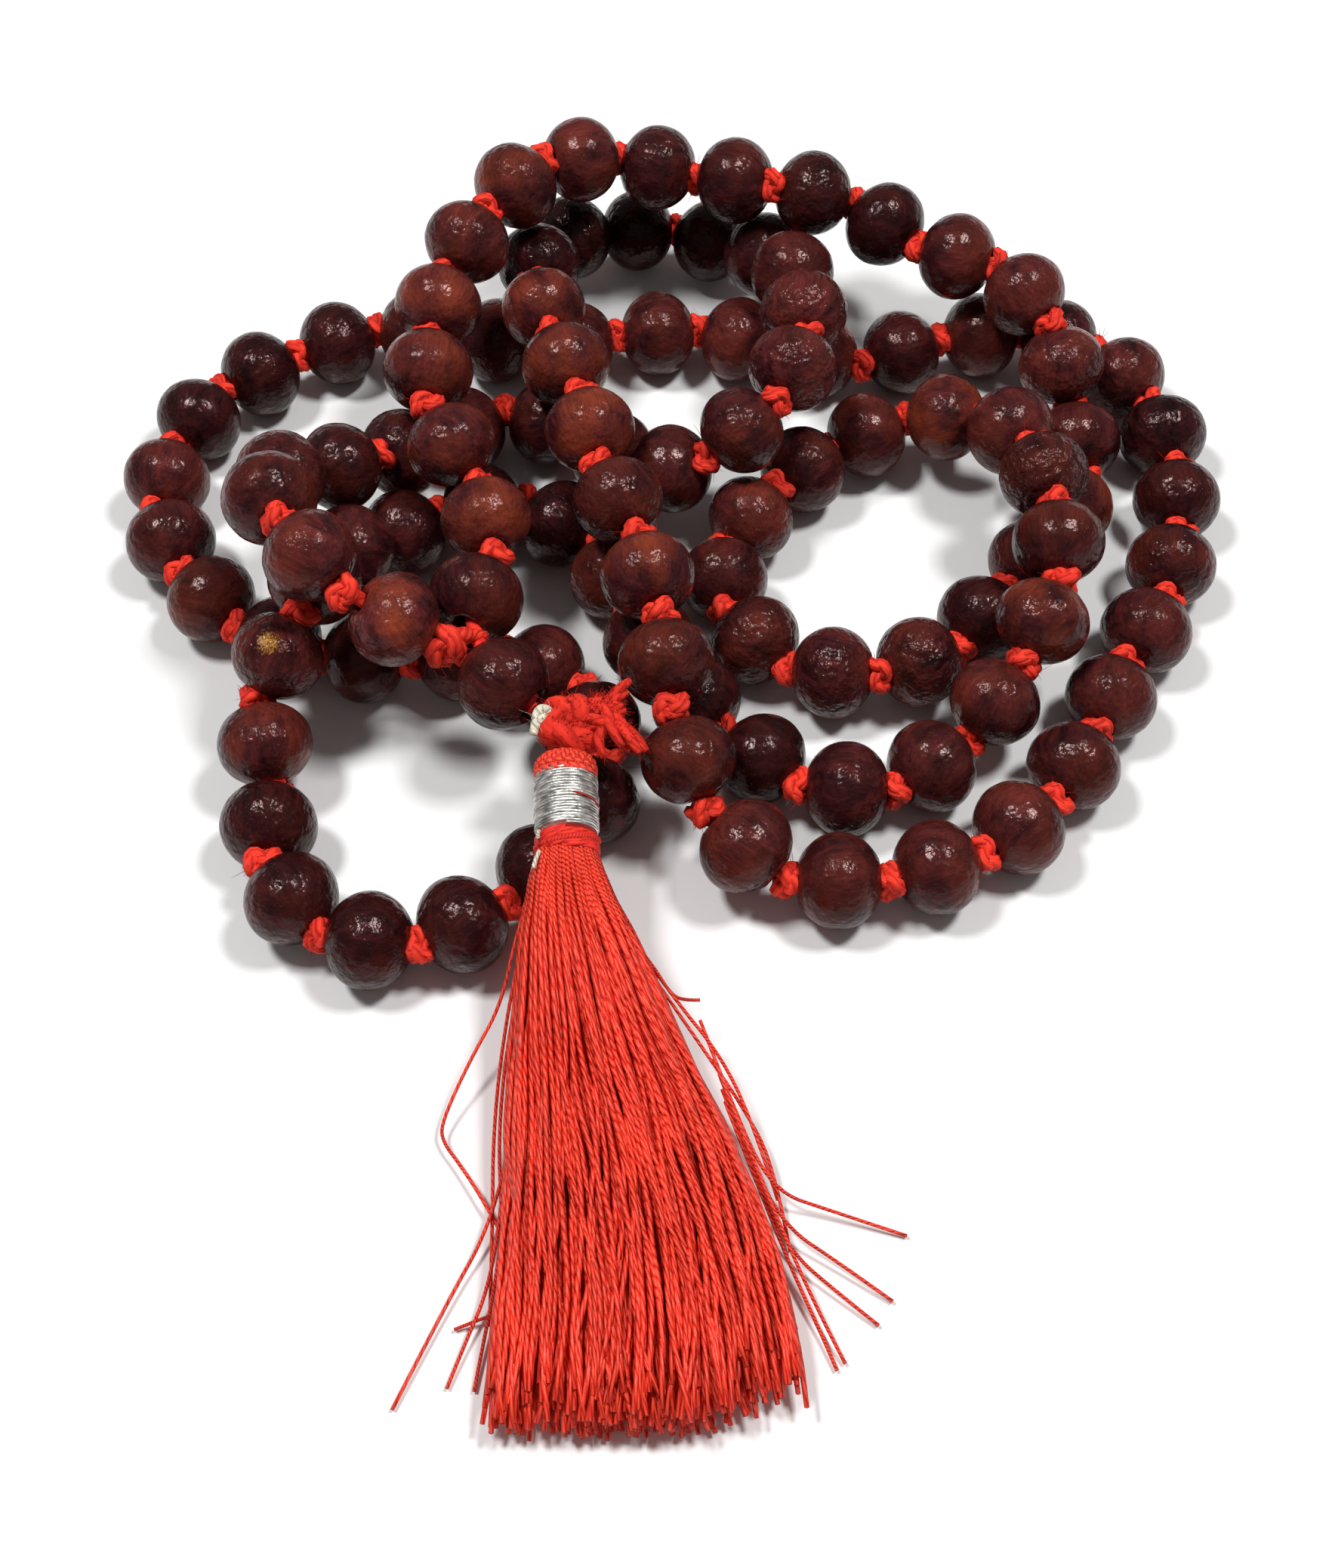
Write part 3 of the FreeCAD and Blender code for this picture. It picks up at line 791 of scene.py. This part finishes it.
core_lines = [
    [at(-8.9, -2.4, 13.0), at(-9.4, -2.2, 13.3), at(-9.9, -2.5, 13.3), at(-10.1, -3.1, 13.0)],
    [at(-9.1, -2.9, 13.0), at(-9.7, -3.0, 13.1), at(-10.1, -3.5, 12.8), at(-10.2, -4.1, 12.4)],
]
core_body = strands("core_body", core_lines, 0.92 * MM, sides=8, steps=4, taper=[0.8, 1.0, 1.0, 0.7])
core_fuzz = fuzz(core_body, 30, 0.8 * MM, 0.05 * MM, 903)
core = join("core_thread", [core_body, core_fuzz])
settle(core, white_cotton, "tassel_head", "white_cotton_thread", "core_thread_end")
print("tail faces", len(tail.data.polygons), "core faces", len(core.data.polygons))

# %% [markdown]
# ## Neck of the tassel
# The neck is a stack of bindings round one axis, from the braided cap down to the skirt.  A small
# helper gives a place from its distance along the axis, its angle and its radius, and each
# binding is a line of such places.  Under the bindings lies a plain core, so that no gap shows
# between two turns.

# %% Set up the neck
NECK_TOP = at(-7.75, -5.9, 11.73)
NECK_ALONG = Vector((0.04, -0.985, -0.17)).normalized()
NECK_SIDE = NECK_ALONG.cross(Vector((0, 0, 1))).normalized()
NECK_UP = NECK_SIDE.cross(NECK_ALONG)
CAP_LENGTH = 1.52
WRAP_LENGTH = 4.95
BINDING_LENGTH = 1.75
BINDING_TOP = CAP_LENGTH + WRAP_LENGTH
NECK_CORE = 4.5 * MM


def neck(along, angle, radius):
    """A place on the neck: millimetres along its axis, turns round it from the top, and radius."""
    swing = 2 * math.pi * angle
    out = NECK_UP * math.cos(swing) + NECK_SIDE * math.sin(swing)
    return NECK_TOP + (NECK_ALONG * along + out * radius) * MM


def neck_core(name, stations):
    """The plain round core under a binding, through stations along the neck."""
    return strands(name, [[neck(along, 0, 0) for along in stations]], NECK_CORE, sides=24, steps=2)


print("neck length", BINDING_TOP + BINDING_LENGTH)

# %% [markdown]
# The cap is braided: half of its threads lean one way over the rounded top and half the other
# way, and they cross on the side that shows.

# %% Braid the cap
CAP_THREADS = 19
CAP_LEAN = 0.085
CAP_LIFT = 0.05
cap_lines = []
for way in (1, -1):
    lean, lift = way * CAP_LEAN, way * CAP_LIFT
    for index in range(CAP_THREADS):
        start = index / CAP_THREADS
        cap_lines.append([
            neck(2.0, start - lean, 2.10 + lift), neck(1.3, start - lean * 0.4, 2.22 + lift),
            neck(0.7, start, 2.22 - lift), neck(0.1, start + lean * 0.5, 1.80 - lift),
            neck(-0.05, start + lean, 1.1 + lift), neck(0.0, start + lean * 1.5, 0.3)])
cap = strands("braided_cap_threads", cap_lines, 0.56 * MM, sides=8, steps=3)
settle(cap, cap_silk, "tassel", "red_tassel_thread", "braided_cap")
print("cap threads", len(cap_lines))

# %% [markdown]
# The silver thread is wound in about twenty close turns.  Hand winding is never even, so each
# turn strays a little from its place.  A red thread is caught between two turns and crosses to
# the right.

# %% Wind the silver wrap
TURNS = 20
STEPS_PER_TURN = 16
STRAYS_PER_TURN = 3
WRAP_MARGIN = 0.14
WRAP_RADIUS = 2.38
WIRE_THICKNESS = 0.245 * MM
wire_draw = random.Random(41)
stray = [wire_draw.uniform(-0.035, 0.035) for _ in range(TURNS * STRAYS_PER_TURN + 2)]
wire_line = []
for step in range(TURNS * STEPS_PER_TURN + 1):
    turns = step / STEPS_PER_TURN
    index = int(turns * STRAYS_PER_TURN)
    share = turns * STRAYS_PER_TURN - index
    shift = stray[index] * (1 - share) + stray[index + 1] * share
    along = CAP_LENGTH + WRAP_MARGIN + (WRAP_LENGTH - 2 * WRAP_MARGIN) * turns / TURNS + shift
    swell = 0.05 * math.sin(math.pi * turns / TURNS)
    wire_line.append(neck(along, turns, WRAP_RADIUS + swell + shift * 1.3))
wire = strands("silver_wrap_wire", [wire_line], WIRE_THICKNESS, sides=8, steps=2)
under = neck_core("silver_wrap_core", [
    CAP_LENGTH + share * WRAP_LENGTH for share in (0.03, 0.5, 0.97)])
wrap = join("silver_wrap", [wire, under])
settle(wrap, silver, "tassel", "silver_metallic_thread", "silver_wire_wrap")
print("silver wrap faces", len(wrap.data.polygons))

crossing = strands("crossing_thread", [[
    neck(CAP_LENGTH + 2.35, -0.04, 2.48), neck(CAP_LENGTH + 2.45, -0.08, 2.57),
    neck(CAP_LENGTH + 2.6, -0.13, 2.58), neck(CAP_LENGTH + 2.75, -0.18, 2.57),
    neck(CAP_LENGTH + 2.8, -0.22, 2.48)]], 0.16 * MM, sides=6, steps=3)
settle(crossing, bound_silk, "tassel", "red_tassel_thread")

# %% [markdown]
# Below the wire a few turns of plain red thread tie the skirt.  Its last turn runs across the
# others at a slant.  Two ends of white thread are caught in it at the left.

# %% Wind the binding
BINDING_TURNS = 5
BINDING_STEPS = 14
BINDING_RADIUS = 2.30
BINDING_THICKNESS = 0.46 * MM
SLANT_STEPS = 16
binding_line = []
for step in range(BINDING_TURNS * BINDING_STEPS + 1):
    turns = step / BINDING_STEPS
    along = BINDING_TOP + 0.22 + (BINDING_LENGTH - 0.40) * turns / BINDING_TURNS
    along += 0.05 * math.sin(5 * turns)
    binding_line.append(neck(along, turns, BINDING_RADIUS + 0.04 * math.sin(7 * turns)))
slant_line = []
for step in range(SLANT_STEPS + 2):
    along = BINDING_TOP + 0.75 + 0.45 * math.cos(2 * math.pi * step / SLANT_STEPS)
    slant_line.append(neck(along, step / SLANT_STEPS + 0.1, BINDING_RADIUS + 0.12))
binding_turns = strands("binding_turns", [binding_line, slant_line], BINDING_THICKNESS,
                        sides=8, steps=2)
under = neck_core("binding_core", [BINDING_TOP + share for share in (0.0, 0.8, 1.6)])
binding = join("thread_binding_turns", [binding_turns, under])
settle(binding, bound_silk, "tassel", "red_tassel_thread", "thread_binding")
print("binding faces", len(binding.data.polygons))

white_bits = strands("white_thread_bits", [
    [neck(BINDING_TOP + 0.15, 0.145, 2.6), neck(BINDING_TOP + 0.5, 0.150, 2.72),
     neck(BINDING_TOP + 0.8, 0.150, 2.6)],
    [neck(BINDING_TOP + 1.8, 0.150, 2.55), neck(BINDING_TOP + 2.5, 0.155, 2.85),
     neck(BINDING_TOP + 3.2, 0.165, 2.95)],
], 0.34 * MM, sides=6, steps=4)
settle(white_bits, white_cotton, "tassel", "white_cotton_thread")

# %% [markdown]
# ## The skirt
# The skirt is a bundle of long two-ply threads.  They leave the binding pressed together and fan
# out until they lie on the surface.  Each thread keeps its place in the bundle's oval all the way
# down, with a little wander, so the fan stays orderly.  The ends are cut by eye and come out
# uneven.

# %% Comb the skirt
SKIRT_SECTIONS = [
    (at(-7.6, -12.7, 10.5), 2.15, 2.1),
    (at(-7.45, -14.3, 10.2), 2.4, 2.3),
    (at(-7.2, -16.8, 9.3), 3.2, 2.6),
    (at(-6.6, -19.8, 8.4), 4.3, 2.8),
    (at(-4.8, -28.5, 5.5), 6.7, 3.1),
    (at(-3.4, -34.8, 4.3), 8.3, 2.9),
    (at(-2.2, -41.0, 3.4), 9.5, 2.7),
    (at(-1.5, -48.0, 2.8), 10.5, 2.3),
    (at(-1.3, -55.5, 2.4), 11.3, 1.9),
]
SKIRT_THREADS = 470
SKIRT_STEPS = 20
SKIRT_THREAD = 0.42 * MM
STRAYING_THREADS = 0.12
LOWEST = 0.3 * MM
GOLDEN_ANGLE = math.pi * (3 - math.sqrt(5))


def skirt_section(share):
    """Centre, half width and half height of the bundle, part of the way down."""
    place = share * (len(SKIRT_SECTIONS) - 1)
    index = min(int(place), len(SKIRT_SECTIONS) - 2)
    rest = place - index
    (first, width, height), (second, next_width, next_height) = SKIRT_SECTIONS[index:index + 2]
    width += (next_width - width) * rest
    height += (next_height - height) * rest
    return first.lerp(second, rest), width, height


def wander(index, share, pace):
    """A slow stray of one thread across the bundle."""
    return Vector([noise.noise((index * 3.7, share * pace, layer)) for layer in (0, 9)])


skirt_draw = random.Random(12)
skirt_lines = []
for index in range(SKIRT_THREADS):
    out = math.sqrt((index + 0.5) / SKIRT_THREADS)
    across, up = out * math.cos(index * GOLDEN_ANGLE), out * math.sin(index * GOLDEN_ANGLE)
    start = 0.025 * skirt_draw.random()
    stop = 1 - 0.055 * skirt_draw.random() ** 1.5 - 0.075 * max(0.0, across) ** 2
    loose_share = 3 if skirt_draw.random() < STRAYING_THREADS else 1
    drift = Vector((skirt_draw.gauss(0, 0.06), skirt_draw.gauss(0, 0.08))) * loose_share
    line = []
    for step in range(SKIRT_STEPS + 1):
        share = start + (stop - start) * step / SKIRT_STEPS
        where = Vector((across, up)) + drift * share
        where += wander(index, share, 4.0) * 0.26 * share
        if where.length > 1:
            where.normalize()
        centre, half_width, half_height = skirt_section(share)
        kink = wander(index + 0.5, share, 22) * 0.36 * share ** 0.7
        offset = Vector((where.x * half_width + kink.x, 0, where.y * half_height + kink.y))
        place = centre + offset * MM
        place.z = max(place.z, LOWEST)
        line.append(place)
    skirt_lines.append(line)
SKIRT_TAPER = [min(1.0, 0.66 + 0.10 * step) for step in range(SKIRT_STEPS)] + [0.85]
skirt = strands("skirt_threads", skirt_lines, SKIRT_THREAD, sides=4, steps=2, taper=SKIRT_TAPER)
settle(skirt, silk, "tassel", "red_tassel_thread", "tassel_skirt")
print("skirt faces", len(skirt.data.polygons))

# %% [markdown]
# A few threads have come loose at both sides.  Each has its own line, down to where it lies on
# the surface.

# %% Lay the loose threads
LOOSE_THREAD = 0.28 * MM
loose_places = [
    [(2.2, -30, 4.5), (4.6, -36.5, 3), (7.3, -42.7, 2), (11.6, -43.8, 1), (17.1, -45.5, 0.4)],
    [(3.6, -34, 3.5), (5.8, -40.5, 2.5), (8.2, -45.3, 1.5), (12, -47.8, 1), (15.8, -50.5, 0.4)],
    [(3.8, -35, 3.0), (6.6, -43, 2), (8.7, -47.2, 1.2), (11.4, -49.6, 0.8), (14.7, -52.3, 0.4)],
    [(3.2, -33, 4), (5.4, -39.0, 3), (8.2, -46.4, 2), (10.5, -51.7, 1), (12.2, -55.1, 0.4)],
    [(4.0, -36, 3), (6.2, -42.0, 2), (8.8, -48.9, 1.2), (10.6, -53.0, 0.6), (11.6, -55.6, 0.4)],
    [(-5.0, -22, 8.2), (-1.4, -26.2, 6.4), (0.0, -28.2, 5.2), (1.0, -28.6, 5), (2.2, -28.5, 4.9)],
    [(-5.2, -21.5, 8.2), (0.2, -28.4, 5), (3.6, -32.5, 4), (5.9, -37.3, 3), (7.8, -43, 1.0)],
    [(-5.0, -22, 7.8), (1.7, -31.1, 4.2), (5.4, -36.3, 2.6), (7.6, -40.5, 1.5), (8.6, -46.8, 0.5)],
    [(-9.8, -18.5, 9), (-11.6, -23.5, 7), (-12.7, -28.7, 4.5), (-14.9, -32.3, 3),
     (-17.1, -37.0, 1.2), (-16.8, -38.4, 1), (-15.6, -40.0, 1), (-13.6, -43.1, 1.2),
     (-12, -46, 1)],
    [(-11.2, -30, 5), (-11.7, -36.5, 3.4), (-11.9, -40.7, 2.5), (-13.5, -46.1, 1.2),
     (-15.5, -49.8, 0.6), (-19.3, -58.4, 0.4)],
    [(-11.6, -36, 3.6), (-12.0, -42.2, 3), (-12.8, -49.6, 1.5), (-14.5, -53.8, 0.6),
     (-15.6, -56.9, 0.4)],
    [(-11.2, -36, 3.6), (-11.6, -42.2, 3), (-12.5, -49.5, 1.2), (-13.2, -53.8, 0.6),
     (-13.7, -57.1, 0.4)],
    [(-9.0, -51.2, 2.0), (-11.1, -51.5, 1.5), (-13.3, -51.9, 0.8), (-15.3, -52.6, 0.4)],
    [(-9.6, -19, 8.8), (-10.7, -24.2, 7), (-12.2, -31.6, 4), (-12.7, -38.1, 2),
     (-12.3, -43.7, 1.2), (-11.7, -50.4, 0.8)],
    [(-10.0, -19, 8.6), (-11.4, -25.2, 6.4), (-12.6, -31.6, 3.6), (-13.1, -38.1, 1.8),
     (-12.9, -44.7, 1.2), (-12.8, -52.4, 0.5)],
]
loose_lines = [[Vector(place) * MM for place in places] for places in loose_places]
loose = strands("loose_threads", loose_lines, LOOSE_THREAD, sides=6, steps=6)
settle(loose, silk, "tassel", "red_tassel_thread")
print("loose threads", len(loose_lines))

# %% [markdown]
# ## Floor and light
# The heap lies on a plain white surface under two soft panels overhead, side by side, which give
# each bead its pair of highlights.  A pale sky fills the shadows.

# %% Build the stage
PANEL_SIZE = (0.105, 0.125)
PANEL_ENERGY = 2.75
PANEL_PLACE = (0.26, 0.03, 0.62)
PANEL_TURN = math.radians(22)
SKY_STRENGTH = 0.17
bpy.ops.object.select_all(action="DESELECT")
bpy.ops.mesh.primitive_plane_add(size=4, location=(0, 0, 0))
floor = bpy.context.object
floor.name = "floor"
floor_white, tree, shader = new_material("floor_white")
shader.inputs["Base Color"].default_value = (0.89, 0.89, 0.885, 1)
shader.inputs["Roughness"].default_value = 0.55
floor.data.materials.append(floor_white)

for side in (-1, 1):
    panel_data = bpy.data.lights.new("panel", "AREA")
    panel_data.shape = "RECTANGLE"
    panel_data.size, panel_data.size_y = PANEL_SIZE
    panel_data.energy = PANEL_ENERGY
    panel = bpy.data.objects.new("panel", panel_data)
    panel.location = (side * PANEL_PLACE[0], PANEL_PLACE[1], PANEL_PLACE[2])
    panel.rotation_euler = (0, side * PANEL_TURN, 0)
    bpy.context.scene.collection.objects.link(panel)

sky = bpy.data.worlds.new("sky")
sky.use_nodes = True
background = sky.node_tree.nodes["Background"]
background.inputs["Color"].default_value = (1.0, 1.0, 1.0, 1)
background.inputs["Strength"].default_value = SKY_STRENGTH
bpy.context.scene.world = sky
bpy.context.scene.view_settings.view_transform = "Standard"
print("lights", len(bpy.data.lights))
